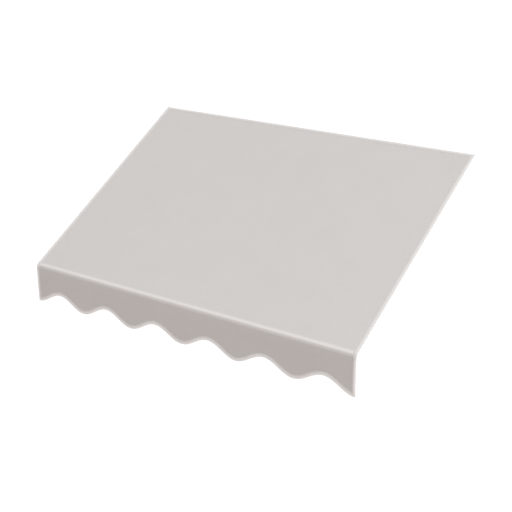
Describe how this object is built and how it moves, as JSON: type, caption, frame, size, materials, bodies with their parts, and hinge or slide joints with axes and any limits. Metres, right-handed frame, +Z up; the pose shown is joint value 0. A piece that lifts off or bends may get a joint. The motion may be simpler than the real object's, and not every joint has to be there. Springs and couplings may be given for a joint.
{
  "type": "window awning",
  "caption": "Fixed open-sided window awning: flat sloping canvas over a round front bar, wavy bound valance, bolted aluminium wall frame with struts.",
  "frame": {"origin": "middle of the head rail's back face, on the wall", "axes": "+X along the wall to the right seen from the front, +Y into the wall, +Z up"},
  "size_m": [1.5, 0.8668, 0.6565],
  "materials": {
    "canvas": "matte",
    "binding_tape": "matte",
    "welt_cord": "satin",
    "frame_aluminium": "satin",
    "cast_aluminium": "satin",
    "stainless_steel": "satin",
    "cap_plastic": "matte"
  },
  "bodies": {
    "root": {"bracket_rafter_left": "frame_aluminium", "bracket_rafter_right": "frame_aluminium", "canopy_binding_back": "binding_tape", "canopy_binding_left": "binding_tape", "canopy_binding_right": "binding_tape", "canopy_sheet": "canvas", "front_bar": "frame_aluminium", "front_bar_cap_left": "cap_plastic", "front_bar_cap_right": "cap_plastic", "front_pocket": "canvas", "front_saddle_bracket_left": "cast_aluminium", "front_saddle_bracket_right": "cast_aluminium", "front_saddle_side_left": "cast_aluminium", "front_saddle_side_right": "cast_aluminium", "head_keder": "welt_cord", "head_rail": "frame_aluminium", "head_rail_cap_left": "cap_plastic", "head_rail_cap_right": "cap_plastic", "lower_fork_screw_left": "stainless_steel", "lower_fork_screw_right": "stainless_steel", "rafter_socket_bracket_left": "cast_aluminium", "rafter_socket_bracket_right": "cast_aluminium", "rafter_socket_side_left": "cast_aluminium", "rafter_socket_side_right": "cast_aluminium", "saddle_screw_bracket_left": "stainless_steel", "saddle_screw_bracket_right": "stainless_steel", "saddle_screw_side_left": "stainless_steel", "saddle_screw_side_right": "stainless_steel", "side_rafter_left": "frame_aluminium", "side_rafter_right": "frame_aluminium", "side_sleeve_left": "canvas", "side_sleeve_right": "canvas", "socket_screw_1": "stainless_steel", "socket_screw_2": "stainless_steel", "socket_screw_3": "stainless_steel", "socket_screw_4": "stainless_steel", "socket_screw_5": "stainless_steel", "socket_screw_6": "stainless_steel", "strut_bracket_left": "cast_aluminium", "strut_bracket_right": "cast_aluminium", "strut_foot_bolt_left": "stainless_steel", "strut_foot_bolt_right": "stainless_steel", "strut_foot_nut_left": "stainless_steel", "strut_foot_nut_right": "stainless_steel", "strut_head_bolt_left": "stainless_steel", "strut_head_bolt_right": "stainless_steel", "strut_head_nut_left": "stainless_steel", "strut_head_nut_right": "stainless_steel", "strut_left": "frame_aluminium", "strut_right": "frame_aluminium", "upper_fork_screw_left": "stainless_steel", "upper_fork_screw_right": "stainless_steel", "valance": "canvas", "valance_binding": "binding_tape", "wall_foot_left": "cast_aluminium", "wall_foot_right": "cast_aluminium"}
  },
  "joints": []
}
